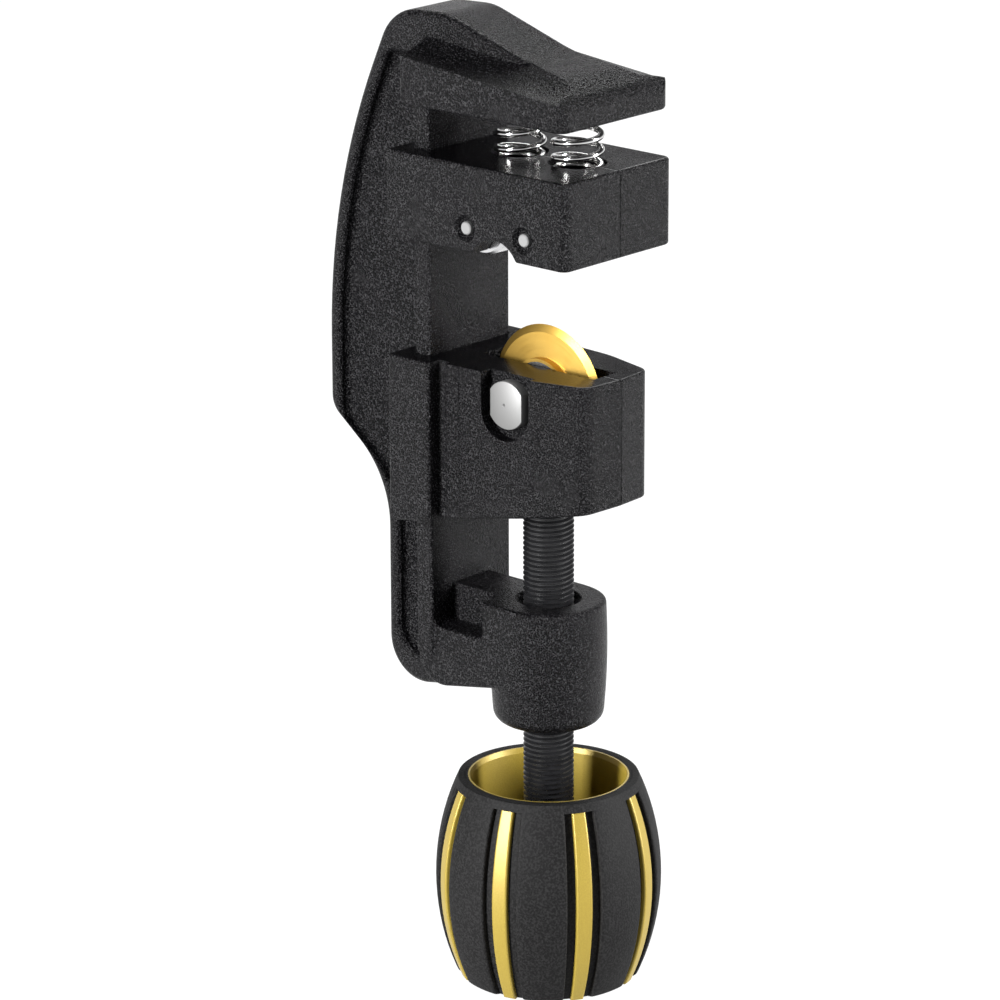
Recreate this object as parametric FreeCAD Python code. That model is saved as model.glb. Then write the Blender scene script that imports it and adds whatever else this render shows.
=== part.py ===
import FreeCAD, Part
import math
import os

# Knob-feed tube cutter: C-shaped cast frame, spring-loaded roller carriage,
# sliding cutter block with a ball-bearing wheel, feed screw and barrel knob.
# Millimetres. +X points from the spine to the nose, +Z runs up the feed screw,
# the screw axis is X = Y = 0 and the underside of the knob is Z = 0.

V = FreeCAD.Vector
Y_AXIS = V(0, 1, 0)
Z_AXIS = V(0, 0, 1)

# ---- driving dimensions -------------------------------------------------
SLIDE_GAP = 0.15          # play of the sliding blocks on the rail
RUN_GAP = 0.05            # radial play of turning parts
SEAT_GAP = 0.02           # radial play of parts that are screwed or pressed together

RAIL_FRONT_X = -20.1
RAIL_BACK_X = -24.2
RAIL_HALF = 11.35
WEB_HALF = 4.8
RIM_HALF = 7.5
RIM_WIDTH = 3.0

BACK_X = -50.8            # rearmost line of the belly
BELLY_Z = 122.0           # where the belly arc starts
BELLY_RADIUS = 136.0
BELLY_TURN = 24.3         # degrees that the belly arc turns through
WAIST_X = -35.6
RIM_ROUND = 1.5
RIM_INNER_ROUND = 1.1
WEB_ROUND = 1.7           # hollow fillet where the web meets the rim
EDGE_ROUND = 0.6          # small rounding of the castings' other edges
ARM_SLOPE = 0.19          # rise per millimetre of the arm's and the slide's undersides
ARM_KEEL_Z = 61.0         # underside of the arm, carried on to X = 0

POCKET_TOP_Z = 180.8
TONGUE_HALF = 15.35
TONGUE_BOTTOM_Z = 173.3
NOSE_X = 16.9
CROWN_Z = 189.9

BOSS_TOP_Z = 77.0
BOSS_BOTTOM_Z = 52.3
BOSS_RADIUS = 11.4
BOSS_BELLY_Z = 68.0       # height at which the boss is widest
BOSS_ARC = 150.0
ARM_HALF = 11.0
NOTCH_Z = 69.6
ARM_WEB_HALF = 5.0

CARRIAGE_BOTTOM_Z = 147.4
CARRIAGE_TOP_Z = 164.2
BLOCK_BACK_X = -27.6
CARRIAGE_FRONT_X = 17.6
SLIDE_FRONT_X = 18.2
BLOCK_HALF = 15.4
HOOK_INNER = 5.5          # half-width of the throat behind the rail

ROLLER_X = 7.2
ROLLER_Z = 152.0
ROLLER_RADIUS = 6.0
ROLLER_HALF = 10.7
PIN_RADIUS = 1.25
PIN_SINK_RADIUS = 2.6     # countersink round the end of a roller pin
CHEEK_INNER = 11.0

SPRING_RADIUS = 5.1
SPRING_WIRE = 1.0
SPRING_POCKET_RADIUS = 5.6
SPRING_POCKET_DEPTH = 3.2
TONGUE_POCKET_DEPTH = 2.2

SLIDE_TOP_Z = 124.0
SLIDE_KEEL_Z = 95.8       # underside of the slide at X = 0
WHEEL_Z = 118.2
WHEEL_RADIUS = 13.3
WHEEL_SLOT_RADIUS = 14.1
WHEEL_SLOT_HALF = 3.2

WHEEL_HUB_RADIUS = 7.1
WHEEL_HUB_HALF = 2.7
BEARING_OUTER = 6.5
BEARING_INNER = 3.0
BEARING_HALF = 2.5
BALL_COUNT = 8
BALL_RADIUS = 1.1
BALL_CIRCLE = 4.75
RACE_LAND = 0.7           # how far the races stay from the ball circle
AXLE_HEAD_RADIUS = 4.7
AXLE_HEAD_Y = -12.3
AXLE_SEAT_Y = -10.2

SCREW_RADIUS = 4.95
NECK_RADIUS = 3.25
NECK_LOW_Z = 98.6
NECK_HIGH_Z = 100.5
HEAD_RADIUS = 4.7
HEAD_TOP_Z = 103.2

KNOB_HEIGHT = 40.8
KNOB_BELLY = 22.1
KNOB_BELLY_ARC = 49.0
CORE_BELLY = 19.0
CORE_BELLY_ARC = 65.7
CUP_RADIUS = 15.1
CUP_FLOOR_Z = 15.0
HUB_RADIUS = 8.2
HUB_TOP_Z = 19.0
RIB_COUNT = 8
RIB_PHASE = 15.3          # degrees from +X to the first rib
RIB_ANGLE = 4.3           # half the angle that a rib spans, degrees
CHANNEL_ANGLE = 9.2       # half the angle of the channel round a rib, degrees
CHANNEL_DEPTH = 1.2
RIB_DROP = 0.25           # how far a rib's crest lies inside the panels' surface
RIB_TOP_Z = KNOB_HEIGHT - 0.5
RIB_ROUND = 0.4
CAP_HEIGHT = 1.2
CAP_RADIUS = 6.45


# ---- small helpers ------------------------------------------------------
def in_xz(a, b):
    return V(a, 0, b)


def in_xy(a, b):
    return V(a, b, 0)


def rounded_face(corners, place):
    """Closed face through (a, b, radius) corners; a radius of 0 leaves a corner sharp."""
    count = len(corners)
    starts = []
    ends = []
    arcs = []
    for i in range(count):
        a, b, radius = corners[i]
        here = place(a, b)
        before = place(corners[i - 1][0], corners[i - 1][1])
        after = place(corners[(i + 1) % count][0], corners[(i + 1) % count][1])
        if radius == 0:
            starts.append(here)
            ends.append(here)
            arcs.append(None)
            continue
        to_before = (before - here).normalize()
        to_after = (after - here).normalize()
        half = to_before.getAngle(to_after) / 2
        reach = radius / math.tan(half)
        bisector = (to_before + to_after).normalize()
        middle = here + bisector * (radius / math.sin(half) - radius)
        start = here + to_before * reach
        end = here + to_after * reach
        starts.append(start)
        ends.append(end)
        arcs.append(Part.Arc(start, middle, end).toShape())
    edges = []
    for i in range(count):
        if arcs[i] is not None:
            edges.append(arcs[i])
        following = starts[(i + 1) % count]
        if (following - ends[i]).Length > 1e-6:
            edges.append(Part.LineSegment(ends[i], following).toShape())
    return Part.Face(Part.Wire(edges))


def slab_y(corners, half):
    """Outline in XZ, extruded symmetrically along Y."""
    face = rounded_face(corners, in_xz)
    face.translate(V(0, -half, 0))
    return face.extrude(V(0, 2 * half, 0))


def slab_z(corners, low, high):
    """Outline in XY, extruded from one height to another."""
    face = rounded_face(corners, in_xy)
    face.translate(V(0, 0, low))
    return face.extrude(V(0, 0, high - low))


def block(x0, x1, y0, y1, z0, z1):
    return Part.makeBox(x1 - x0, y1 - y0, z1 - z0, V(x0, y0, z0))


def rod_y(radius, x, z, y0, y1):
    return Part.makeCylinder(radius, y1 - y0, V(x, y0, z), Y_AXIS)


def rod_z(radius, z0, z1, x=0.0, y=0.0):
    return Part.makeCylinder(radius, z1 - z0, V(x, y, z0), Z_AXIS)


def turned_z(points):
    """Solid of revolution about the screw axis through (radius, height) points."""
    loop = [V(r, 0, z) for r, z in points]
    wire = Part.makePolygon(loop + [loop[0]])
    return Part.Face(wire).revolve(V(0, 0, 0), Z_AXIS, 360)


def turned_y(points, x, z):
    """Solid of revolution about the line Y through (x, z), from (radius, y) points."""
    loop = [V(x + r, y, z) for r, y in points]
    wire = Part.makePolygon(loop + [loop[0]])
    return Part.Face(wire).revolve(V(x, 0, z), Y_AXIS, 360)


def mirrored(shape):
    return shape.mirror(V(0, 0, 0), Y_AXIS)


def soften(shape, radius, wanted):
    """Fillet every edge that the test accepts."""
    edges = [edge for edge in shape.Edges if wanted(edge)]
    return shape.makeFillet(radius, edges)


def middle_of(edge):
    return edge.valueAt((edge.FirstParameter + edge.LastParameter) / 2)


def runs_along(edge, axis):
    ends = edge.Vertexes
    if len(ends) < 2 or edge.Curve.TypeId != "Part::GeomLine":
        return False
    return abs((ends[1].Point - ends[0].Point).normalize().dot(axis)) > 0.999


def underside_z(x, keel):
    """Height of a sloping underside at x, for the height that it has at X = 0."""
    return keel + ARM_SLOPE * x


def save(shape, node):
    """Write one node, which must be one valid solid."""
    solid = shape.Solids[0]
    print(node, len(shape.Solids), solid.isValid(), round(solid.Volume, 1))
    solid.exportStep(os.path.join("parts", node + ".step"))


# ---- frame --------------------------------------------------------------
def spine_back(inset, keel):
    """Rear outline of the spine from its foot to the top of the belly, moved inwards by inset."""
    half_turn = math.radians(BELLY_TURN / 2)
    radius = BELLY_RADIUS - inset
    return [
        (WAIST_X + inset, underside_z(WAIST_X, keel), 8.5 - inset),
        (WAIST_X + inset, 95.6 - inset * 0.4, 20.0),
        (BACK_X + inset, 107.4 - inset * 0.4, 5.0),
        (BACK_X + inset, BELLY_Z + radius * math.tan(half_turn), radius),
    ]


def up_the_belly(inset, height):
    """Point at the given height on the straight line that leaves the belly arc."""
    half_turn = math.radians(BELLY_TURN / 2)
    corner_z = BELLY_Z + (BELLY_RADIUS - inset) * math.tan(half_turn)
    return BACK_X + inset + (height - corner_z) * math.tan(2 * half_turn)


CROWN_LINE = [
    (up_the_belly(0.0, CROWN_Z - 0.7), CROWN_Z - 0.7, 10.0),
    (-19.5, CROWN_Z - 0.1, 12.0),
    (0.0, 183.6, 45.0),
    (12.0, 181.4, 12.0),
]


def ridge():
    """Back rim and crown: one band of constant width with rounded outer edges."""
    keel = ARM_KEEL_Z - 0.8
    front = 9.5
    crest, brow = CROWN_LINE[2], CROWN_LINE[3]
    front_z = crest[1] + (brow[1] - crest[1]) * (front - crest[0]) / (brow[0] - crest[0])
    corners = spine_back(0.0, keel) + CROWN_LINE[:3] + [
        (front, front_z, 0),
        (front, TONGUE_BOTTOM_Z + 2.5, 0),
        (RAIL_FRONT_X, TONGUE_BOTTOM_Z + 2.5, 0),
        (RAIL_FRONT_X, underside_z(RAIL_FRONT_X, keel), 0),
    ]
    body = slab_y(corners, RIM_HALF)

    def outer(edge):
        middle = middle_of(edge)
        on_side = abs(abs(middle.y) - RIM_HALF) < 0.01 and not runs_along(edge, Y_AXIS)
        below_tongue = middle.z < TONGUE_BOTTOM_Z + 3 and middle.x > RAIL_BACK_X - 1
        return on_side and not below_tongue and middle.x < front - 0.1

    body = soften(body, RIM_ROUND, outer)
    pocket = slab_y(pocket_outline(RIM_WIDTH), 20.0).common(block(-60, 0, -20, -WEB_HALF, 0, 250))
    on_web = [edge for edge in pocket.Edges if abs(middle_of(edge).y + WEB_HALF) < 0.01]
    pocket = pocket.makeFillet(WEB_ROUND, [edge for edge in on_web if middle_of(edge).x < RAIL_BACK_X - 0.1])
    flare = pocket_flare()
    return body.cut(pocket).cut(mirrored(pocket)).cut(flare).cut(mirrored(flare))


def pocket_outline(inset):
    """Corners of the hollow between the rim and the rail."""
    top = POCKET_TOP_Z + RIM_WIDTH - inset
    keel = ARM_KEEL_Z + 5.0 - RIM_WIDTH + inset
    return spine_back(inset, keel) + [
        (up_the_belly(inset, top), top, 2.0 + RIM_WIDTH - inset),
        (RAIL_BACK_X, top, 0),
        (RAIL_BACK_X, underside_z(RAIL_BACK_X, keel), 0),
    ]


def pocket_flare():
    """Widening of the hollow's mouth that leaves the rim's inner edge rounded."""
    lead_in = 0.4
    steps = [(RIM_WIDTH + lead_in, RIM_INNER_ROUND + lead_in)]
    for degrees in (25, 45, 67.5, 90):
        turn = math.radians(degrees)
        inset = RIM_WIDTH - RIM_INNER_ROUND * (1 - math.cos(turn))
        steps.append((inset, RIM_INNER_ROUND * (1 - math.sin(turn))))
    steps.append((RIM_WIDTH - RIM_INNER_ROUND, -1.0))
    wires = []
    for inset, depth in steps:
        wire = rounded_face(pocket_outline(inset), in_xz).Wires[0]
        wire.translate(V(0, depth - RIM_HALF, 0))
        wires.append(wire)
    return Part.makeLoft(wires, True, True)


def head_blank():
    """Tongue and hood at full width, before the side scoops."""
    corners = CROWN_LINE[1:] + [
        (NOSE_X, 178.6, 4.2),
        (NOSE_X, TONGUE_BOTTOM_Z, 0),
        (-23.9, TONGUE_BOTTOM_Z, 0),
        (-23.9, CROWN_Z - 0.4, 0),
    ]
    plan = [
        (-23.9, -TONGUE_HALF, EDGE_ROUND),
        (NOSE_X, -TONGUE_HALF, 2.4),
        (NOSE_X, TONGUE_HALF, 2.4),
        (-23.9, TONGUE_HALF, EDGE_ROUND),
    ]
    return slab_y(corners, TONGUE_HALF).common(slab_z(plan, TONGUE_BOTTOM_Z - 1, CROWN_Z + 1))


def side_scoop():
    """Concave hollow on the -Y side of the head, between the crown and the tongue's edge."""
    inner = -RIM_HALF + RIM_ROUND + 0.2

    def section(x, edge_z, foot_z):
        outer = V(x, -TONGUE_HALF - 0.5, edge_z)
        foot = V(x, inner, foot_z + 0.5)
        sag = V(x, -RIM_HALF - 3.0, edge_z + (foot_z - edge_z) * 0.36)
        high_in = V(x, inner, CROWN_Z + 12)
        high_out = V(x, -TONGUE_HALF - 0.5, CROWN_Z + 12)
        edges = [
            Part.Arc(outer, sag, foot).toShape(),
            Part.LineSegment(foot, high_in).toShape(),
            Part.LineSegment(high_in, high_out).toShape(),
            Part.LineSegment(high_out, outer).toShape(),
        ]
        return Part.Wire(edges)

    above = Part.makeLoft([section(-60.0, 186.0, 189.2), section(20.0, 178.2, 181.5)], True, True)
    plan = [
        (-55.0, -TONGUE_HALF - 0.4, 0),
        (15.9, -TONGUE_HALF - 0.4, 0),
        (12.6, inner, 5.0),
        (-55.0, inner, 0),
    ]
    return slab_z(plan, TONGUE_BOTTOM_Z + 2, CROWN_Z + 10).common(above)


def arm():
    """Foot arm with a notch on each side behind the boss."""
    corners = [
        (RAIL_BACK_X, NOTCH_Z, 0),
        (RAIL_BACK_X, underside_z(RAIL_BACK_X, ARM_KEEL_Z), 6.0),
        (0.0, ARM_KEEL_Z, 0),
        (0.0, BOSS_TOP_Z, 0),
        (RAIL_FRONT_X, BOSS_TOP_Z, 0),
        (RAIL_FRONT_X, NOTCH_Z, 0),
    ]
    body = slab_y(corners, ARM_HALF)
    notch = block(RAIL_FRONT_X, -7.6, -20, -ARM_WEB_HALF, NOTCH_Z, BOSS_TOP_Z + 5)
    notch = soften(notch, 1.5, lambda edge: runs_along(edge, Y_AXIS) and middle_of(edge).z < NOTCH_Z + 1)
    body = body.cut(notch).cut(mirrored(notch))

    def outline(edge):
        middle = middle_of(edge)
        on_side = abs(abs(middle.y) - ARM_HALF) < 0.01
        inside_boss = runs_along(edge, Z_AXIS) and middle.x > -1
        inside_rail = middle.x < RAIL_FRONT_X + 0.1 and middle.z > underside_z(RAIL_BACK_X, ARM_KEEL_Z) + 6
        return on_side and not inside_boss and not inside_rail

    return soften(body, EDGE_ROUND, outline)


def boss():
    body = barrel(BOSS_RADIUS, BOSS_ARC, BOSS_BOTTOM_Z, BOSS_TOP_Z, BOSS_BELLY_Z)
    body = soften(body, 2.6, lambda edge: edge.Closed and middle_of(edge).z < BOSS_BOTTOM_Z + 0.1)
    return soften(body, 0.9, lambda edge: edge.Closed and middle_of(edge).z > BOSS_TOP_Z - 0.1)


def frame():
    rail = block(RAIL_BACK_X, RAIL_FRONT_X, -RAIL_HALF, RAIL_HALF, NOTCH_Z - 6, TONGUE_BOTTOM_Z + 1)
    rail = soften(rail, EDGE_ROUND, lambda edge: runs_along(edge, Z_AXIS))
    scoop = side_scoop()
    head = head_blank().cut(scoop).cut(mirrored(scoop))
    head = soften(head, 0.8, lambda edge: abs(middle_of(edge).z - TONGUE_BOTTOM_Z) < 0.01)
    result = ridge().fuse([rail, arm(), boss(), head]).removeSplitter()

    # seats of the springs, thread bore with its countersinks
    for x in (-ROLLER_X, ROLLER_X):
        seat_top = TONGUE_BOTTOM_Z + TONGUE_POCKET_DEPTH
        result = result.cut(rod_z(SPRING_POCKET_RADIUS, TONGUE_BOTTOM_Z - 1, seat_top, x))
    bore = rod_z(SCREW_RADIUS + RUN_GAP, BOSS_BOTTOM_Z - 1, BOSS_TOP_Z + 1)
    top_sink = Part.makeCone(SCREW_RADIUS, 6.5, 1.6, V(0, 0, BOSS_TOP_Z - 1.6), Z_AXIS)
    low_sink = Part.makeCone(6.1, SCREW_RADIUS, 1.2, V(0, 0, BOSS_BOTTOM_Z), Z_AXIS)
    result = result.cut(bore).cut(top_sink).cut(low_sink)

    # slot on the +Y edge of the rail for the carriage's stop screw
    stop_slot = block(-23.65, -20.65, RAIL_HALF - 1.6, RAIL_HALF + 1, STOP_Z - STOP_TIP_RADIUS - 0.05, 161.0)
    return result.cut(stop_slot)


# ---- sliding blocks -----------------------------------------------------
def rail_channel(low, high):
    """Space that both blocks leave round the T-rail."""
    wide = RAIL_HALF + SLIDE_GAP
    flange = block(RAIL_BACK_X - SLIDE_GAP, RAIL_FRONT_X + SLIDE_GAP, -wide, wide, low, high)
    throat = block(BLOCK_BACK_X - 5, RAIL_BACK_X, -HOOK_INNER, HOOK_INNER, low, high)
    return flange.fuse(throat)


def near_half(shape):
    return shape.common(block(-60, 60, -30, 0, 0, 250))


def far_half(shape):
    return shape.common(block(-60, 60, 0, 30, 0, 250))


CARRIAGE_SCREWS = [(-17.3, 151.0), (-17.3, 160.6)]
SLIDE_SCREWS = [(-17.3, 97.6), (-17.3, 118.5), (11.2, 102.2)]
BLOCK_SCREW_RADIUS = 1.5
BLOCK_SCREW_HEAD = 2.7
BLOCK_SCREW_TIP_Y = -9.0


def screw_space(x, z, outer_y):
    shank = rod_y(BLOCK_SCREW_RADIUS + SEAT_GAP, x, z, BLOCK_SCREW_TIP_Y - 0.5, outer_y + 1)
    head = rod_y(BLOCK_SCREW_HEAD + 0.15, x, z, outer_y - 2.2, outer_y + 4)
    return shank.fuse(head)


def block_screw(x, z, outer_y):
    """Socket head screw that joins two halves, its head sunk in the +Y face."""
    seat = outer_y - 2.2
    shank = rod_y(BLOCK_SCREW_RADIUS, x, z, BLOCK_SCREW_TIP_Y, seat)
    head = rod_y(BLOCK_SCREW_HEAD, x, z, seat, outer_y - 0.3)
    socket = hexagon_y(1.25, x, z, outer_y - 1.6, outer_y)
    return shank.fuse(head).cut(socket).removeSplitter()


def hexagon_y(half_flats, x, z, y0, y1):
    corner = half_flats / math.cos(math.pi / 6)
    points = []
    for i in range(7):
        angle = math.pi / 3 * i
        points.append(V(x + corner * math.cos(angle), y0, z + corner * math.sin(angle)))
    return Part.Face(Part.makePolygon(points)).extrude(V(0, y1 - y0, 0))


STOP_X = -22.15
STOP_Z = 155.2
STOP_RADIUS = 2.0
STOP_TIP_RADIUS = 1.3


def carriage_whole():
    plan = [
        (BLOCK_BACK_X, -BLOCK_HALF, 0.8),
        (CARRIAGE_FRONT_X, -BLOCK_HALF, 2.0),
        (CARRIAGE_FRONT_X, BLOCK_HALF, 2.0),
        (BLOCK_BACK_X, BLOCK_HALF, 0.8),
    ]
    body = slab_z(plan, CARRIAGE_BOTTOM_Z, CARRIAGE_TOP_Z)
    body = soften(body, 0.6, lambda edge: abs(middle_of(edge).z - CARRIAGE_TOP_Z) < 0.01)
    body = soften(body, 0.6, lambda edge: abs(middle_of(edge).z - CARRIAGE_BOTTOM_Z) < 0.01)
    body = body.cut(rail_channel(CARRIAGE_BOTTOM_Z - 1, CARRIAGE_TOP_Z + 1))
    cavity = block(-14.2, 14.2, -CHEEK_INNER, CHEEK_INNER, CARRIAGE_BOTTOM_Z - 1, 159.2)
    body = body.cut(cavity)
    arch_radius = 6.1
    body = body.cut(rod_y(arch_radius, 0, CARRIAGE_BOTTOM_Z + 3.5 - arch_radius, -20, 20))
    for x in (-ROLLER_X, ROLLER_X):
        floor = CARRIAGE_TOP_Z - SPRING_POCKET_DEPTH
        body = body.cut(rod_z(SPRING_POCKET_RADIUS, floor, CARRIAGE_TOP_Z + 1, x))
        body = body.cut(rod_y(PIN_RADIUS + SEAT_GAP, x, ROLLER_Z, -20, 20))
        sink = Part.makeCone(PIN_SINK_RADIUS, PIN_SINK_RADIUS - 0.7, 0.9, V(x, -BLOCK_HALF, ROLLER_Z), Y_AXIS)
        body = body.cut(sink).cut(mirrored(sink))
    for x, z in CARRIAGE_SCREWS:
        body = body.cut(screw_space(x, z, BLOCK_HALF))
    stop_hole = rod_y(STOP_RADIUS + SEAT_GAP, STOP_X, STOP_Z, RAIL_HALF, BLOCK_HALF + 1)
    return body.cut(stop_hole)


def stop_screw():
    """Set screw with a dog point that rides in the rail's slot and stops the carriage."""
    shank = rod_y(STOP_RADIUS, STOP_X, STOP_Z, RAIL_HALF + SLIDE_GAP + 0.05, BLOCK_HALF - 0.4)
    tip = rod_y(STOP_TIP_RADIUS, STOP_X, STOP_Z, RAIL_HALF - 1.2, RAIL_HALF + 0.5)
    socket = hexagon_y(1.0, STOP_X, STOP_Z, BLOCK_HALF - 2.0, BLOCK_HALF)
    return shank.fuse(tip).cut(socket).removeSplitter()


def guide_roller(x):
    """Steel roller with a relief groove in line with the wheel."""
    r = ROLLER_RADIUS
    h = ROLLER_HALF
    half = [
        (PIN_RADIUS + RUN_GAP, h),
        (r - 0.5, h),
        (r, h - 0.5),
        (r, 2.1),
        (r - 0.9, 1.2),
    ]
    return turned_y(half + [(radius, -y) for radius, y in reversed(half)], x, ROLLER_Z)


def roller_pin(x):
    end = BLOCK_HALF - 0.05
    pin = rod_y(PIN_RADIUS, x, ROLLER_Z, -end, end)
    return pin.makeChamfer(0.2, [edge for edge in pin.Edges if edge.Closed])


def spring_body(x):
    """Compression spring as a plain tube over its real height and outer diameter."""
    low = CARRIAGE_TOP_Z - SPRING_POCKET_DEPTH
    high = TONGUE_BOTTOM_Z + TONGUE_POCKET_DEPTH
    return rod_z(SPRING_RADIUS, low, high, x).cut(rod_z(SPRING_RADIUS - SPRING_WIRE, low, high, x))


def slide_whole():
    plan = [
        (BLOCK_BACK_X, 0, 0),
        (BLOCK_BACK_X, -BLOCK_HALF, 0.8),
        (-16.9, -BLOCK_HALF, 0.8),
        (-16.9, -12.2, 0.5),
        (-14.5, -12.2, 0.5),
        (-14.5, -13.6, 0.6),
        (5.0, -12.3, 24.0),
        (17.3, -9.0, 3.2),
        (SLIDE_FRONT_X, 0, 0),
        (17.3, 9.0, 3.2),
        (5.0, 12.3, 24.0),
        (-14.5, 13.6, 0.6),
        (-14.5, BLOCK_HALF, 0.8),
        (BLOCK_BACK_X, BLOCK_HALF, 0.8),
    ]
    body = slab_z(plan, 80.0, SLIDE_TOP_Z)
    body = soften(body, 0.45, lambda edge: abs(middle_of(edge).z - SLIDE_TOP_Z) < 0.01)
    side = [
        (BLOCK_BACK_X - 1, underside_z(BLOCK_BACK_X - 1, SLIDE_KEEL_Z), 0),
        (SLIDE_FRONT_X + 1, underside_z(SLIDE_FRONT_X + 1, SLIDE_KEEL_Z), 0),
        (SLIDE_FRONT_X + 1, SLIDE_TOP_Z + 1, 0),
        (BLOCK_BACK_X - 1, SLIDE_TOP_Z + 1, 0),
    ]
    body = body.common(slab_y(side, 30))
    body = soften(body, EDGE_ROUND, lies_on_slide_keel)
    body = body.cut(foot_round())
    body = body.cut(rail_channel(70, 140))

    # slot for the wheel, open at the top
    half = WHEEL_SLOT_HALF
    radius = WHEEL_SLOT_RADIUS
    body = body.cut(rod_y(radius, 0, WHEEL_Z, -half, half))
    body = body.cut(block(-radius, radius, -half, half, WHEEL_Z, SLIDE_TOP_Z + 1))

    # axle bore, U-shaped pocket of its head, sunk seat of its screw on the +Y side
    body = body.cut(rod_y(BEARING_INNER, 0, WHEEL_Z, AXLE_SEAT_Y - 1, 9.0))
    pocket_radius = 5.6
    pocket_z = WHEEL_Z - 1.4
    body = body.cut(rod_y(pocket_radius, 0, pocket_z, -20, AXLE_SEAT_Y))
    body = body.cut(block(-pocket_radius, pocket_radius, -20, AXLE_SEAT_Y, pocket_z, SLIDE_TOP_Z + 1))
    body = body.cut(rod_y(2.05, 0, WHEEL_Z, 8.0, 14.0))
    body = body.cut(rod_y(3.8, 0, WHEEL_Z, 10.4, 20.0))

    # bore, collar and chamber that hold the end of the feed screw
    body = body.cut(rod_z(SCREW_RADIUS + 0.2, 80, NECK_LOW_Z - 0.1))
    body = body.cut(rod_z(NECK_RADIUS + 0.08, 90, NECK_HIGH_Z))
    body = body.cut(rod_z(HEAD_RADIUS + 0.2, NECK_HIGH_Z - 0.1, HEAD_TOP_Z + 0.2))
    for x, z in SLIDE_SCREWS:
        body = body.cut(screw_space(x, z, slide_far_y(x)))
    return body


def lies_on_slide_keel(edge):
    middle = middle_of(edge)
    return abs(middle.z - underside_z(middle.x, SLIDE_KEEL_Z)) < 0.01


def slide_far_y(x):
    """Half-width of the slide where a joining screw enters."""
    if x < -16:
        return BLOCK_HALF
    return 9.9


def foot_round():
    """Material taken off the slide's lower rear corner, leaving it rounded."""
    low = underside_z(BLOCK_BACK_X, SLIDE_KEEL_Z)
    radius = 4.0
    corner = block(BLOCK_BACK_X - 1, BLOCK_BACK_X + radius, -20, 20, low - 2, low + radius)
    keep = rod_y(radius, BLOCK_BACK_X + radius, low + radius, -20, 20)
    return corner.cut(keep)


# ---- cutting wheel and its bearing --------------------------------------
def cutting_wheel():
    half = [
        (BEARING_OUTER, WHEEL_HUB_HALF),
        (WHEEL_HUB_RADIUS, WHEEL_HUB_HALF),
        (WHEEL_HUB_RADIUS, 1.15),
        (11.9, 0.75),
    ]
    edge = [(WHEEL_RADIUS, 0.0)]
    return turned_y(half + edge + [(r, -y) for r, y in reversed(half)], 0, WHEEL_Z)


def race(inner, outer):
    ring = rod_y(outer, 0, WHEEL_Z, -BEARING_HALF, BEARING_HALF)
    ring = ring.cut(rod_y(inner, 0, WHEEL_Z, -BEARING_HALF - 1, BEARING_HALF + 1))
    track = Part.makeTorus(BALL_CIRCLE, BALL_RADIUS + RUN_GAP, V(0, 0, WHEEL_Z), Y_AXIS)
    return ring.cut(track)


def bearing_ball(index):
    angle = 2 * math.pi * index / BALL_COUNT
    centre = V(BALL_CIRCLE * math.cos(angle), 0, WHEEL_Z + BALL_CIRCLE * math.sin(angle))
    return Part.makeSphere(BALL_RADIUS, centre)


def bearing_shield(side):
    y0 = min(side * 1.9, side * 2.2)
    ring = rod_y(BALL_CIRCLE + RACE_LAND - SEAT_GAP, 0, WHEEL_Z, y0, y0 + 0.3)
    return ring.cut(rod_y(BALL_CIRCLE - RACE_LAND + 0.1, 0, WHEEL_Z, y0 - 1, y0 + 1))


def wheel_washer(side):
    y0 = min(side * BEARING_HALF, side * (WHEEL_SLOT_HALF - 0.02))
    thick = WHEEL_SLOT_HALF - 0.02 - BEARING_HALF
    ring = rod_y(BALL_CIRCLE - RACE_LAND, 0, WHEEL_Z, y0, y0 + thick)
    return ring.cut(rod_y(BEARING_INNER, 0, WHEEL_Z, y0 - 1, y0 + 2))


def wheel_axle():
    """Axle with a D-shaped head and a centre-punch mark."""
    head = rod_y(AXLE_HEAD_RADIUS, 0, WHEEL_Z, AXLE_HEAD_Y, AXLE_SEAT_Y)
    flat = block(0.84 * AXLE_HEAD_RADIUS, 20, -20, 0, WHEEL_Z - 20, WHEEL_Z + 20)
    head = head.cut(flat)
    punch = Part.makeCone(0.35, 0.05, 0.35, V(-0.2, AXLE_HEAD_Y, WHEEL_Z), Y_AXIS)
    shaft = rod_y(BEARING_INNER - SEAT_GAP, 0, WHEEL_Z, AXLE_SEAT_Y - 0.5, 7.9)
    thread_hole = rod_y(1.7, 0, WHEEL_Z, -1.0, 8.5)
    return head.fuse(shaft).cut(punch).cut(thread_hole).removeSplitter()


def axle_screw():
    shank = rod_y(1.7 - SEAT_GAP, 0, WHEEL_Z, 0.5, 10.4)
    head = rod_y(3.6, 0, WHEEL_Z, 10.4, 12.2)
    socket = hexagon_y(1.5, 0, WHEEL_Z, 11.0, 13.0)
    return shank.fuse(head).cut(socket).removeSplitter()


# ---- feed screw and knob ------------------------------------------------
def feed_screw():
    body = turned_z([
        (0, 6.0),
        (3.98, 6.0),
        (3.98, HUB_TOP_Z),
        (SCREW_RADIUS, HUB_TOP_Z),
        (SCREW_RADIUS, NECK_LOW_Z - 1.4),
        (SCREW_RADIUS - 0.7, NECK_LOW_Z - 0.75),
        (NECK_RADIUS, NECK_LOW_Z - 0.75),
        (NECK_RADIUS, NECK_HIGH_Z + 0.1),
        (HEAD_RADIUS, NECK_HIGH_Z + 0.1),
        (HEAD_RADIUS, HEAD_TOP_Z - 0.6),
        (HEAD_RADIUS - 0.6, HEAD_TOP_Z),
        (0, HEAD_TOP_Z),
    ])
    flat = block(3.2, 6.0, -6, 6, 5.0, HUB_TOP_Z)
    tapped = rod_z(1.7, 5.0, 17.0)
    return body.cut(flat).cut(tapped)


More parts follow.
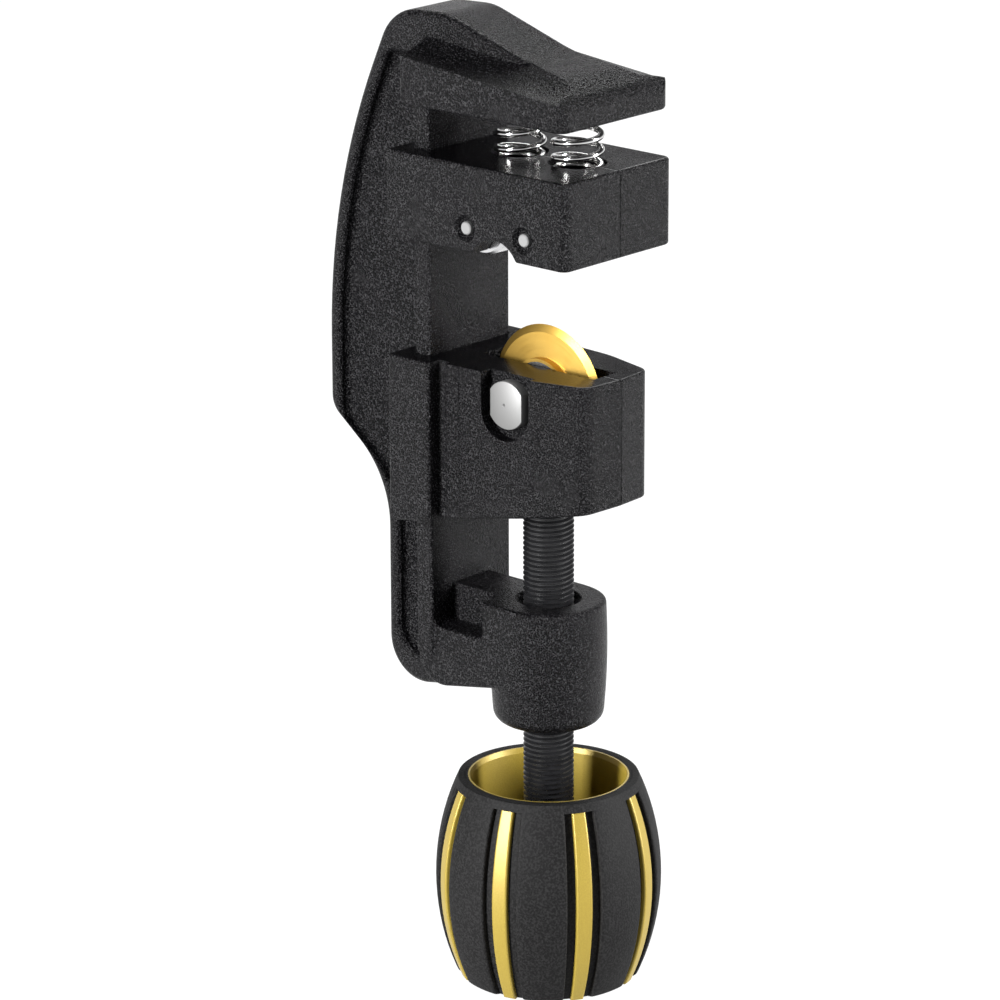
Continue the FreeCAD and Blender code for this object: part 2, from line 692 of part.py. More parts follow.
def thrust_washer():
    low = NECK_LOW_Z - 0.75
    ring = rod_z(4.6, low, low + 0.6)
    return ring.cut(rod_z(NECK_RADIUS + SEAT_GAP, low - 1, low + 2))


def barrel(belly, arc, low=0.0, high=KNOB_HEIGHT, belly_z=KNOB_HEIGHT / 2):
    """Barrel-shaped solid about the screw axis, widest at belly_z."""
    def on_side(z):
        rise = z - belly_z
        return V(belly - arc + math.sqrt(arc * arc - rise * rise), 0, z)

    bottom = on_side(low)
    waist = on_side((low + high) / 2)
    top = on_side(high)
    edges = [
        Part.LineSegment(V(0, 0, low), bottom).toShape(),
        Part.Arc(bottom, waist, top).toShape(),
        Part.LineSegment(top, V(0, 0, high)).toShape(),
        Part.LineSegment(V(0, 0, high), V(0, 0, low)).toShape(),
    ]
    return Part.Face(Part.Wire(edges)).revolve(V(0, 0, 0), Z_AXIS, 360)


def wedge(angle, half_angle, low, high, inner=12.0):
    """Sector of a ring about the screw axis, used to cut ribs and channels."""
    reach = 40.0
    points = []
    corners = ((inner, -half_angle), (reach, -half_angle), (reach, half_angle), (inner, half_angle))
    for radius, offset in corners:
        turn = math.radians(angle + offset)
        points.append(V(radius * math.cos(turn), radius * math.sin(turn), low))
    return Part.Face(Part.makePolygon(points + [points[0]])).extrude(V(0, 0, high - low))


def rib_angles():
    return [RIB_PHASE + 360.0 * i / RIB_COUNT for i in range(RIB_COUNT)]


def on_outer_side(edge):
    """True for an edge of a rib that lies on the knob's outer surface."""
    middle = middle_of(edge)
    return math.hypot(middle.x, middle.y) > CUP_RADIUS + 1.0


def knob_core():
    """Cup with a hub for the feed screw and eight ribs on its outside."""
    body = barrel(CORE_BELLY, CORE_BELLY_ARC)
    crest = barrel(KNOB_BELLY - RIB_DROP, KNOB_BELLY_ARC, 0.0, RIB_TOP_Z)
    for angle in rib_angles():
        rib = crest.common(wedge(angle, RIB_ANGLE, 0.0, RIB_TOP_Z))
        body = body.fuse(soften(rib, RIB_ROUND, on_outer_side))
    cup = turned_z([
        (0, CUP_FLOOR_Z),
        (CUP_RADIUS - 1.2, CUP_FLOOR_Z),
        (CUP_RADIUS, KNOB_HEIGHT - 1.0),
        (CUP_RADIUS + 0.3, KNOB_HEIGHT),
        (CUP_RADIUS + 0.3, KNOB_HEIGHT + 1),
        (0, KNOB_HEIGHT + 1),
    ])
    cup = soften(cup, 2.5, lambda edge: edge.Closed and abs(middle_of(edge).z - CUP_FLOOR_Z) < 0.01)
    body = body.cut(cup).fuse(rod_z(HUB_RADIUS, CUP_FLOOR_Z - 1, HUB_TOP_Z))
    bore = rod_z(4.0, 6.0, HUB_TOP_Z + 1).cut(block(3.22, 6.0, -6, 6, 5.0, 30.0))
    body = body.cut(bore).cut(rod_z(1.9, 4.0, 7.0)).cut(rod_z(CAP_RADIUS + SEAT_GAP, -1, 5.0))
    return body.removeSplitter()


def knob_grip():
    """Rubber sleeve: thin base layer, eight raised panels, openings for the ribs."""
    inner = barrel(CORE_BELLY, CORE_BELLY_ARC, -0.5, KNOB_HEIGHT + 0.5)
    outer = barrel(KNOB_BELLY, KNOB_BELLY_ARC)
    outer = soften(outer, 1.3, lambda edge: edge.Closed and middle_of(edge).z > KNOB_HEIGHT - 0.1)
    outer = soften(outer, 0.9, lambda edge: edge.Closed and middle_of(edge).z < 0.1)
    floor = barrel(KNOB_BELLY - CHANNEL_DEPTH, KNOB_BELLY_ARC, -1.0, KNOB_HEIGHT + 1.0)
    body = outer
    for angle in rib_angles():
        channel = wedge(angle, CHANNEL_ANGLE, -1.0, KNOB_HEIGHT - 0.9).cut(floor)
        body = body.cut(channel)
    body = body.cut(inner)
    for angle in rib_angles():
        body = body.cut(wedge(angle, RIB_ANGLE, -1.0, RIB_TOP_Z))
    return body


def knob_washer():
    ring = rod_z(4.4, 4.2, 5.0)
    return ring.cut(rod_z(1.9, 3.0, 6.0))


def knob_cap():
    """Plug that closes the recess of the knob screw, flush with the underside."""
    return rod_z(CAP_RADIUS, 0.0, CAP_HEIGHT)


def knob_screw():
    """Pan head screw that holds the knob on the end of the feed screw."""
    head = rod_z(3.4, 1.6, 4.2)
    shank = rod_z(1.7 - SEAT_GAP, 4.0, 15.0)
    slot = block(-2.4, 2.4, -0.45, 0.45, 1.0, 2.6)
    cross = block(-0.45, 0.45, -2.4, 2.4, 1.0, 2.6)
    return head.fuse(shank).cut(slot).cut(cross).removeSplitter()


# ---- write every node ---------------------------------------------------
os.makedirs("parts", exist_ok=True)

save(frame(), "frame")
carriage = carriage_whole()
save(near_half(carriage), "roller_carriage_near")
save(far_half(carriage), "roller_carriage_far")
save(stop_screw(), "carriage_stop_screw")
for number, (x, z) in enumerate(CARRIAGE_SCREWS, 1):
    save(block_screw(x, z, BLOCK_HALF), "carriage_screw_%d" % number)
for name, x in (("rear", -ROLLER_X), ("front", ROLLER_X)):
    save(guide_roller(x), "roller_" + name)
    save(roller_pin(x), "roller_pin_" + name)
    save(spring_body(x), "spring_" + name)

slide = slide_whole()
save(near_half(slide), "cutter_slide_near")
save(far_half(slide), "cutter_slide_far")
for number, (x, z) in enumerate(SLIDE_SCREWS, 1):
    save(block_screw(x, z, slide_far_y(x)), "slide_screw_%d" % number)

save(cutting_wheel(), "cutter_wheel")
save(race(BALL_CIRCLE + RACE_LAND, BEARING_OUTER - SEAT_GAP), "bearing_outer_race")
save(race(BEARING_INNER, BALL_CIRCLE - RACE_LAND), "bearing_inner_race")
for index in range(BALL_COUNT):
    save(bearing_ball(index), "bearing_ball_%d" % (index + 1))
for name, side in (("near", -1), ("far", 1)):
    save(bearing_shield(side), "bearing_shield_" + name)
    save(wheel_washer(side), "wheel_washer_" + name)
save(wheel_axle(), "wheel_axle")
save(axle_screw(), "axle_screw")

save(feed_screw(), "feed_screw")
save(thrust_washer(), "thrust_washer")
save(knob_core(), "knob_core")
save(knob_grip(), "knob_grip")
save(knob_washer(), "knob_washer")
save(knob_screw(), "knob_screw")
save(knob_cap(), "knob_cap")
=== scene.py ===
# %% [markdown]
# # A knob-feed tube cutter
# This script dresses a finished CAD model of a small tube cutter: a cast C-shaped frame, a
# carriage with two rollers under springs, a sliding block with a cutting wheel, and a feed screw
# with a barrel knob. The CAD shapes give the sizes. This script adds what they leave out, such as
# the thread and the coils, and gives every surface its finish. All lengths are in metres, +Z runs
# up the feed screw, +X points from the spine to the nose, and the screw's axis is the Z axis.

# %% Load the CAD model
import math

import bmesh
import bpy
from mathutils import Matrix, Vector


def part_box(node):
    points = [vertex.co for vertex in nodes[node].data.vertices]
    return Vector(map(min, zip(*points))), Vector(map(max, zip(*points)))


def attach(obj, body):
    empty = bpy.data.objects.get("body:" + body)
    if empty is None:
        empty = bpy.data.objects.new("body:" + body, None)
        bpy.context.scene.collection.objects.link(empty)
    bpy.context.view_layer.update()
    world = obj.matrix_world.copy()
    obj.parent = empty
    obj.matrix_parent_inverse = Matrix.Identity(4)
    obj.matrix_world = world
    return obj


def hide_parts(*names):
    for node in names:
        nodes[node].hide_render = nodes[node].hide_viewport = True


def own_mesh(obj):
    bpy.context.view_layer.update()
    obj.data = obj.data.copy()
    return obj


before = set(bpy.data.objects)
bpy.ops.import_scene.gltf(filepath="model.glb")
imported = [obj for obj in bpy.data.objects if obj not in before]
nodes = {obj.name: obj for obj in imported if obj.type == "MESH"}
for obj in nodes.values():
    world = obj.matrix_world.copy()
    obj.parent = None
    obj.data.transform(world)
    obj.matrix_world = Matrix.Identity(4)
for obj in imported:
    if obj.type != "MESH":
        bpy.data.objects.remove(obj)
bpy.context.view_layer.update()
MM = 0.001

# %% [markdown]
# ## Camera
# The tool is seen from its front left and a little above, with a long lens, so upright lines stay
# upright. A camera that is aimed straight at the screw's axis and shifted a little sideways keeps
# the tool left of the picture's middle without turning it.

# %% Camera
AZIMUTH = math.radians(41.448)
ELEVATION = math.radians(17.365)
DISTANCE = 930.4 * MM
AIM = Vector((0.0, 0.0, 96.7 * MM))
LENS = 174.78
SHIFT = -0.0486

towards_camera = Vector(
    (
        math.sin(AZIMUTH) * math.cos(ELEVATION),
        -math.cos(AZIMUTH) * math.cos(ELEVATION),
        math.sin(ELEVATION),
    )
)
camera_data = bpy.data.cameras.new("camera")
camera_data.lens = LENS
camera_data.sensor_width = 36.0
camera_data.shift_x = SHIFT
camera_data.clip_end = 20.0
camera = bpy.data.objects.new("camera", camera_data)
camera.location = AIM + towards_camera * DISTANCE
camera.rotation_euler = towards_camera.to_track_quat("Z", "Y").to_euler()
bpy.context.scene.collection.objects.link(camera)
bpy.context.scene.camera = camera
print("camera at", [round(v, 3) for v in camera.location])

# %% [markdown]
# ## Floor and light
# A black object is drawn by what it reflects. Flat light from everywhere would make it a grey
# cut-out, so the sky here is bright near the horizon and dark overhead, and two tall soft boxes
# stand at the sides. They are narrow and bright, so they leave long fine lines on the rounded
# edges and a spark on every grain of the coat, while the middle of each face stays dark. A small
# third box lights the back of the spine.


# %% Floor
def link(name, data):
    """A new object at the origin, in the scene's collection."""
    thing = bpy.data.objects.new(name, data)
    bpy.context.scene.collection.objects.link(thing)
    return thing


def finished(mesh, name, smooth_below=math.radians(35)):
    """Turn a bmesh into an object, smooth but for edges that turn by more than the angle."""
    bmesh.ops.recalc_face_normals(mesh, faces=mesh.faces)
    for face in mesh.faces:
        face.smooth = True
    for edge in mesh.edges:
        edge.smooth = edge.is_manifold and edge.calc_face_angle(0.0) < smooth_below
    data = bpy.data.meshes.new(name)
    mesh.to_mesh(data)
    mesh.free()
    thing = link(name, data)
    print(name, len(data.vertices), "vertices,", len(data.polygons), "faces")
    return thing


FLOOR_HALF = 15.0
floor_mesh = bmesh.new()
bmesh.ops.create_grid(floor_mesh, x_segments=2, y_segments=2, size=FLOOR_HALF)
floor = finished(floor_mesh, "floor")

# %% Sky
HORIZON_GLOW = (0.95, 0.95, 0.96, 1.0)
OVERHEAD_DARK = (0.07, 0.07, 0.073, 1.0)
GLOW_ENDS = 0.56
DARK_STARTS = 0.62
world = bpy.data.worlds.new("studio")
bpy.context.scene.world = world
world.use_nodes = True
sky = world.node_tree
sky_direction = sky.nodes.new("ShaderNodeTexCoord")
sky_height = sky.nodes.new("ShaderNodeSeparateXYZ")
sky_ramp = sky.nodes.new("ShaderNodeValToRGB")
sky_ramp.color_ramp.elements[0].position = GLOW_ENDS
sky_ramp.color_ramp.elements[0].color = HORIZON_GLOW
sky_ramp.color_ramp.elements[1].position = DARK_STARTS
sky_ramp.color_ramp.elements[1].color = OVERHEAD_DARK
sky_shift = sky.nodes.new("ShaderNodeMath")
sky_shift.operation = "MULTIPLY_ADD"
sky_shift.inputs[1].default_value = 0.5
sky_shift.inputs[2].default_value = 0.5
sky.links.new(sky_direction.outputs["Generated"], sky_height.inputs[0])
sky.links.new(sky_height.outputs["Z"], sky_shift.inputs[0])
sky.links.new(sky_shift.outputs[0], sky_ramp.inputs[0])
sky.links.new(sky_ramp.outputs[0], sky.nodes["Background"].inputs[0])
sky.nodes["Background"].inputs[1].default_value = 1.0
print("sky nodes:", len(sky.nodes))


# %% Soft boxes
def soft_box(name, azimuth, elevation, distance, width, height, watts):
    """A rectangular lamp that looks at the tool from the given direction."""
    lamp_data = bpy.data.lights.new(name, "AREA")
    lamp_data.shape = "RECTANGLE"
    lamp_data.size = width
    lamp_data.size_y = height
    lamp_data.energy = watts
    lamp = link(name, lamp_data)
    turn = math.radians(azimuth)
    rise = math.radians(elevation)
    direction = Vector(
        (math.sin(turn) * math.cos(rise), -math.cos(turn) * math.cos(rise), math.sin(rise))
    )
    lamp.location = AIM + direction * distance
    lamp.rotation_euler = direction.to_track_quat("Z", "Y").to_euler()
    print(name, "at", [round(v, 2) for v in lamp.location])


soft_box(
    "key_box", azimuth=-8.0, elevation=15.0, distance=0.9, width=0.16, height=0.6, watts=26.0
)
soft_box(
    "side_box", azimuth=124.0, elevation=14.0, distance=0.9, width=0.16, height=0.6, watts=22.0
)
soft_box(
    "back_box", azimuth=215.0, elevation=34.0, distance=1.2, width=0.4, height=0.4, watts=4.0
)
bpy.context.scene.view_settings.view_transform = "Standard"

# %% [markdown]
# ## Shader maths in Python
# Each finish is a small network of shader nodes. Writing it as expressions keeps it readable:
# Signal wraps one output socket and gives it Python's operators, and each operator adds a Math
# node. Every other node comes from Finish.add, which sets the node up first and then fills or
# links its sockets.


# %% Signal and Finish
class Signal:
    """One number that changes over a surface, with Python's operators."""

    def __init__(self, finish, socket):
        self.finish = finish
        self.socket = socket

    def math(self, operation, *values):
        sockets = dict(enumerate(values))
        node = self.finish.add("ShaderNodeMath", {"operation": operation}, sockets)
        return Signal(self.finish, node.outputs[0])

    def __add__(self, other):
        return self.math("ADD", self, other)

    def __sub__(self, other):
        return self.math("SUBTRACT", self, other)

    def __rsub__(self, other):
        return self.math("SUBTRACT", other, self)

    def __mul__(self, other):
        return self.math("MULTIPLY", self, other)

    def __pow__(self, other):
        return self.math("POWER", self, other)

    __radd__ = __add__
    __rmul__ = __mul__

    def distance_from(self, value):
        return self.math("ABSOLUTE", self - value)

    def smooth_step(self, low, high):
        """0 below low, 1 above high, and a soft change between them."""
        settings = {"interpolation_type": "SMOOTHSTEP"}
        sockets = {"Value": self, "From Min": low, "From Max": high}
        node = self.finish.add("ShaderNodeMapRange", settings, sockets)
        return Signal(self.finish, node.outputs[0])


class Finish:
    """A material with a Principled shader, and the nodes that feed it."""

    def __init__(self, name, color, roughness, metallic=0.0, **plain):
        self.material = bpy.data.materials.new(name)
        self.material.use_nodes = True
        self.tree = self.material.node_tree
        self.shader = self.tree.nodes["Principled BSDF"]
        self.set("Base Color", (*color, 1.0))
        self.set("Roughness", roughness)
        self.set("Metallic", metallic)
        for name, value in plain.items():
            self.set(name.replace("_", " "), value)
        self.position = self.add("ShaderNodeTexCoord", {}, {}).outputs["Object"]

    def add(self, kind, settings, sockets):
        """Add a node: settings first, then the values or links of its sockets."""
        node = self.tree.nodes.new(kind)
        for name, value in settings.items():
            setattr(node, name, value)
        for key, value in sockets.items():
            self.fill(node.inputs[key], value)
        return node

    def fill(self, socket, value):
        if isinstance(value, Signal):
            self.tree.links.new(value.socket, socket)
        elif isinstance(value, bpy.types.NodeSocket):
            self.tree.links.new(value, socket)
        else:
            socket.default_value = value

    def set(self, name, value):
        self.fill(self.shader.inputs[name], value)

    def axes(self, centre=(0.0, 0.0, 0.0)):
        """X, Y and Z of the point that is shaded, measured from a centre."""
        mapping = self.add(
            "ShaderNodeMapping", {}, {"Vector": self.position, "Location": [-v for v in centre]}
        )
        parts = self.add("ShaderNodeSeparateXYZ", {}, {"Vector": mapping.outputs[0]})
        return [Signal(self, out) for out in parts.outputs]

    def point(self, x, y, z):
        return self.add("ShaderNodeCombineXYZ", {}, {"X": x, "Y": y, "Z": z}).outputs[0]

    def noise(self, grain, detail=2.0, roughness=0.5, where=None):
        """Cloudy noise whose lumps are about grain metres wide."""
        sockets = {"Vector": where or self.position, "Scale": 1.0 / grain}
        sockets.update({"Detail": detail, "Roughness": roughness})
        node = self.add("ShaderNodeTexNoise", {}, sockets)
        return Signal(self, node.outputs["Fac"])

    def cells(self, grain):
        """Smooth distance to the nearest of many points about grain metres apart."""
        sockets = {"Vector": self.position, "Scale": 1.0 / grain}
        node = self.add("ShaderNodeTexVoronoi", {"feature": "SMOOTH_F1"}, sockets)
        return Signal(self, node.outputs["Distance"])

    def blend(self, mask, low, high):
        """A colour that goes from low to high as the mask goes from 0 to 1."""
        factor, first_color, second_color = 0, 6, 7
        sockets = {factor: mask, first_color: (*low, 1.0), second_color: (*high, 1.0)}
        return self.add("ShaderNodeMix", {"data_type": "RGBA"}, sockets).outputs[2]

    def bump(self, height, depth):
        """Tilt the surface as if it rose by depth metres where height is 1."""
        sockets = {"Height": height, "Distance": depth, "Strength": 1.0}
        self.set("Normal", self.add("ShaderNodeBump", {}, sockets).outputs[0])

    def upward(self):
        """How far the surface faces up: 1 on a flat top, 0 on a side."""
        geometry = self.add("ShaderNodeNewGeometry", {}, {})
        parts = self.add("ShaderNodeSeparateXYZ", {}, {"Vector": geometry.outputs["Normal"]})
        return Signal(self, parts.outputs["Z"])


def dress(finish, *names):
    """Put a finish on CAD nodes."""
    for name in names:
        for place in nodes[name].material_slots:
            place.material = finish.material


# %% [markdown]
# ## Floor paper
# The floor is white paper. Its own light keeps it an even white as far as it is seen, and the
# lamps add only a faint shadow. Paper that is lit by the lamps alone would turn grey away from
# them.

# %% Floor paper
paper = Finish("floor_paper", (0.10, 0.10, 0.10), 0.9, Specular_IOR_Level=0.1)
paper.set("Emission Color", (1.0, 1.0, 1.0, 1.0))
paper.set("Emission Strength", 0.95)
floor.data.materials.append(paper.material)

# %% [markdown]
# ## Powder coat on the castings
# The frame and the blocks are die castings under a thick black powder coat. The powder melts into
# a skin with a fine leather-like grain: rounded lumps half a millimetre wide with narrow valleys
# between them. Smooth Voronoi cells give the lumps and noise breaks up their rows. The skin is
# half gloss, so a lump carries a spark of light, and grey flecks in the colour stand for the dry
# tips of the grain, which stay in sight where no lamp is mirrored.


# %% Powder coat
LUMP_SIZE = 0.52 * MM
GRIT_SIZE = 0.30 * MM
FLECK_SIZE = 0.31 * MM
CLOUD_SIZE = 9.0 * MM
GRAIN_DEPTH = 0.36 * MM
LUMP_SHARE = 0.7
GRIT_SHARE = 0.9
TOP_FLATTENING = 0.94
TOP_FLECK_LOSS = 0.9
TOP_GLOSS_GAIN = 0.12
COAT_BLACK = (0.0008, 0.0007, 0.0010)
FLECK_GREY = (0.024, 0.0235, 0.025)


def powder_coat(name, smooth_tops):
    """A black coat, and the height of its grain, which the caller may groove before it bumps."""
    coat = Finish(name, (0.008, 0.008, 0.009), 0.34, Specular_IOR_Level=0.085)
    lumps = 1.0 - coat.cells(LUMP_SIZE)
    grit = coat.noise(GRIT_SIZE)
    cloud = coat.noise(CLOUD_SIZE, detail=3.0)
    height = lumps * LUMP_SHARE + grit * GRIT_SHARE
    flecks = coat.noise(FLECK_SIZE, roughness=0.7).smooth_step(0.51, 0.66)
    rough = cloud * 0.1 + 0.21
    if smooth_tops:
        top = coat.upward().smooth_step(0.9, 0.995)
        height = height * (1.0 - top * TOP_FLATTENING)
        flecks = flecks * (1.0 - top * TOP_FLECK_LOSS)
        rough = rough - top * TOP_GLOSS_GAIN
    coat.set("Base Color", coat.blend(flecks, COAT_BLACK, FLECK_GREY))
    coat.set("Roughness", rough)
    return coat, height


def groove(distance, half_width):
    """1 along a line and 0 beside it, from the distance to the line."""
    return 1.0 - distance.smooth_step(0.25 * half_width, half_width)


# %% Frame
BOSS_SEAM_HALF_WIDTH = 0.16 * MM
BOSS_SEAM_DEPTH = 1.6
frame_coat, frame_grain = powder_coat("cast_black", smooth_tops=False)
_, frame_y, frame_z = frame_coat.axes()
above_boss_side = frame_z.smooth_step(76.4 * MM, 76.9 * MM)
above_boss_top = frame_z.smooth_step(77.2 * MM, 77.6 * MM)
boss_top = above_boss_side * (1.0 - above_boss_top)
boss_seam = groove(frame_y.distance_from(0.0), BOSS_SEAM_HALF_WIDTH) * boss_top
frame_coat.bump(frame_grain - boss_seam * BOSS_SEAM_DEPTH, GRAIN_DEPTH)
dress(frame_coat, "frame")
print("frame coat nodes:", len(frame_coat.tree.nodes))

# %% [markdown]
# The two blocks are each screwed together from a near and a far half, and the joint shows as a
# fine groove in the middle of every face that it crosses. The cutter block also has a thin raised
# line on its flanks, where a slide of its mould closed. Their tops have been ground before
# painting, so they are smoother and glossier than their sides.

# %% Blocks
JOINT_HALF_WIDTH = 0.36 * MM
JOINT_DEPTH = 2.6
MOULD_LINE_X = -10.9 * MM
MOULD_LINE_HALF_WIDTH = 0.12 * MM
MOULD_LINE_HEIGHT = 0.5
carriage_coat, carriage_grain = powder_coat("cast_black_carriage", smooth_tops=True)
_, carriage_y, _ = carriage_coat.axes()
carriage_joint = groove(carriage_y.distance_from(0.0), JOINT_HALF_WIDTH)
carriage_coat.bump(carriage_grain - carriage_joint * JOINT_DEPTH, GRAIN_DEPTH)
slide_coat, slide_grain = powder_coat("cast_black_slide", smooth_tops=True)
slide_x, slide_y, _ = slide_coat.axes()
slide_joint = groove(slide_y.distance_from(0.0), JOINT_HALF_WIDTH)
mould_line = groove(slide_x.distance_from(MOULD_LINE_X), MOULD_LINE_HALF_WIDTH)
slide_height = slide_grain - slide_joint * JOINT_DEPTH + mould_line * MOULD_LINE_HEIGHT
slide_coat.bump(slide_height, GRAIN_DEPTH)
dress(carriage_coat, "roller_carriage_near", "roller_carriage_far")
dress(slide_coat, "cutter_slide_near", "cutter_slide_far")
print("slide coat nodes:", len(slide_coat.tree.nodes))

# %% [markdown]
# ## Gold-coloured cutting wheel
# The wheel is hardened steel under a hard gold-coloured coating. It is turned and lapped, so very
# fine rings run round its axle. Noise that is stretched along the angle and squeezed along the
# radius gives them. They tilt the light and change the gloss, and only slow stains change the
# colour.

# %% Wheel coating
wheel_low, wheel_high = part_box("cutter_wheel")
wheel_centre = (wheel_low + wheel_high) / 2
gold = Finish("wheel_gold", (0.92, 0.62, 0.16), 0.32, metallic=1.0)
across, along, up = gold.axes(wheel_centre)
radius = (across * across + up * up) ** 0.5
angle = across.math("ARCTAN2", across, up)
rings = gold.noise(1.0, detail=3.0, where=gold.point(radius * 5200.0, angle * 1.2, along * 300.0))
stain = gold.noise(3.5 * MM, detail=4.0)
gold.set("Base Color", gold.blend(stain, (0.37, 0.225, 0.044), (0.45, 0.29, 0.070)))
gold.set("Roughness", 0.33 + rings * 0.14)
gold.bump(rings, 0.012 * MM)
dress(gold, "cutter_wheel")
print("wheel centre", [round(v, 4) for v in wheel_centre])

# %% [markdown]
# ## Steel parts
# Five steels are seen or half seen: the ground rollers, the bearing, the blasted end of the axle,
# the ends of the rollers' pins, and the dark heads of the joining screws. They differ mostly in
# how rough they are, and each gets an even, fine grit.


# %% Steels
def steel(name, color, roughness, grit_size, grit_depth):
    """A bare metal whose gloss changes a little with its grit."""
    metal = Finish(name, color, roughness, metallic=1.0)
    grit = metal.noise(grit_size, detail=3.0)
    metal.set("Roughness", (roughness - 0.06) + grit * 0.12)
    metal.bump(grit, grit_depth)
    return metal


roller_steel = steel("roller_steel", (0.62, 0.62, 0.63), 0.22, 0.3 * MM, 0.004 * MM)
bearing_steel = steel("bearing_steel", (0.66, 0.65, 0.63), 0.24, 0.4 * MM, 0.004 * MM)
fastener_steel = steel("fastener_steel", (0.16, 0.16, 0.165), 0.34, 0.25 * MM, 0.01 * MM)

# %% Axle and pin steel
blasted = Finish("axle_steel", (0.19, 0.19, 0.188), 0.5, metallic=0.85)
blast_grit = blasted.noise(0.16 * MM)
blasted.set("Roughness", 0.42 + blast_grit * 0.16)
pin_steel = Finish("pin_steel", (0.18, 0.18, 0.18), 0.42, metallic=0.4)
pin_grit = pin_steel.noise(0.2 * MM)
pin_steel.set("Roughness", 0.36 + pin_grit * 0.14)
pin_steel.bump(pin_grit, 0.01 * MM)

# %% Dress the steel parts
dress(roller_steel, "roller_front", "roller_rear")
dress(pin_steel, "roller_pin_front", "roller_pin_rear")
bearing_parts = [name for name in nodes if name.startswith("bearing_") or "washer" in name]
dress(bearing_steel, *bearing_parts)
screws = [name for name in nodes if name.endswith("screw") or "_screw_" in name]
dress(fastener_steel, *[name for name in screws if name != "feed_screw"])
dress(fastener_steel, "knob_washer")
print("bearing parts:", bearing_parts)
print("screws:", screws)

# %% [markdown]
# ## Wheel axle
# The axle's head is flat on two sides and has a punch mark near its middle. It is made as a short
# cylinder on a plain shaft: both flats are cut, and the rim of its face is bevelled. The mark is
# far too small to need a mesh of its own, so it is a dent in the material.


# %% Axle
def cut_flat(mesh, point, normal):
    """Cut the mesh in a plane, drop the side that the normal points to, and close the cut."""
    geometry = mesh.verts[:] + mesh.edges[:] + mesh.faces[:]
    bmesh.ops.bisect_plane(
        mesh, geom=geometry, dist=1e-9, plane_co=point, plane_no=normal, clear_outer=True
    )
    rim = [edge for edge in mesh.edges if edge.is_boundary]
    rim = [
        edge
        for edge in rim
        if all(abs((v.co - Vector(point)).dot(normal)) < 1e-7 for v in edge.verts)
    ]
    bmesh.ops.contextual_create(mesh, geom=rim)


HEAD_RADIUS = 4.7 * MM
HEAD_FLAT = 3.95 * MM
HEAD_THICKNESS = 2.1 * MM
HEAD_SIDES = 72
RIM_BEVEL = 0.18 * MM
SHAFT_RADIUS = 2.98 * MM
SHAFT_START = 1.5 * MM
SHAFT_SIDES = 48
MARK_OFFSET = -0.4 * MM
MARK_RADIUS = 0.32 * MM
MARK_DEPTH = 0.3 * MM
axle_low, axle_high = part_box("wheel_axle")
print("axle length, mm:", round((axle_high.y - axle_low.y) / MM, 2))

# %% Axle mesh
axle_mesh = bmesh.new()
sideways = Matrix.Rotation(math.pi / 2, 4, "X")
head_middle = Vector((0.0, axle_low.y + HEAD_THICKNESS / 2, wheel_centre.z))
bmesh.ops.create_cone(
    axle_mesh,
    cap_ends=True,
    segments=HEAD_SIDES,
    radius1=HEAD_RADIUS,
    radius2=HEAD_RADIUS,
    depth=HEAD_THICKNESS,
    matrix=Matrix.Translation(head_middle) @ sideways,
)
for side in (-1.0, 1.0):
    cut_flat(axle_mesh, (side * HEAD_FLAT, 0.0, 0.0), Vector((side, 0.0, 0.0)))
front_rim = [
    edge for edge in axle_mesh.edges if all(v.co.y < axle_low.y + 1e-6 for v in edge.verts)
]
bmesh.ops.bevel(
    axle_mesh,
    geom=front_rim,
    offset=RIM_BEVEL,
    segments=2,
    profile=0.5,
    affect="EDGES",
    material=-1,
)
shaft_start = axle_low.y + SHAFT_START
bmesh.ops.create_cone(
    axle_mesh,
    cap_ends=True,
    segments=SHAFT_SIDES,
    radius1=SHAFT_RADIUS,
    radius2=SHAFT_RADIUS,
    depth=axle_high.y - shaft_start,
    matrix=Matrix.Translation((0.0, (shaft_start + axle_high.y) / 2, wheel_centre.z)) @ sideways,
)
axle_pin = finished(axle_mesh, "axle_pin")
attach(axle_pin, "cutter_slide")
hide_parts("wheel_axle")
axle_pin.data.materials.append(blasted.material)

# %% Punch mark
mark_x, _, mark_z = blasted.axes((MARK_OFFSET, 0.0, wheel_centre.z))
mark_distance = (mark_x * mark_x + mark_z * mark_z) ** 0.5
punch_mark = 1.0 - mark_distance.smooth_step(0.05 * MM, MARK_RADIUS)
blasted.bump(blast_grit * 0.04 - punch_mark, MARK_DEPTH)
print("axle steel nodes:", len(blasted.tree.nodes))

# %% [markdown]
# ## Feed thread
# The CAD model has a plain cylinder where the real screw has an M10 thread with a 1 mm pitch. A
# thread is one small profile that climbs as it turns, so the profile of one pitch is spun once
# round, and its end meets its own start one pitch higher. Doubling that turn again and again is
# much quicker than spinning all of them. Two flat cuts end the thread, and a neck, a head and a
# stub complete the screw.

# %% Thread sizes
PITCH = 1.0 * MM
CREST_RADIUS = 4.93 * MM
THREAD_DEPTH = 0.61 * MM
THREAD_LOW = 18.0 * MM
THREAD_HIGH = 97.2 * MM
STEPS_PER_TURN = 48
SPARE_TURNS = 2
turns_needed = math.ceil((THREAD_HIGH - THREAD_LOW) / PITCH) + SPARE_TURNS
root_radius = CREST_RADIUS - THREAD_DEPTH
thread_profile = [
    (root_radius, 0.0),
    (root_radius, 0.10),
    (CREST_RADIUS, 0.44),
    (CREST_RADIUS, 0.56),
]
thread_profile += [(root_radius, 0.90), (root_radius, 1.0)]
print("turns needed:", turns_needed)

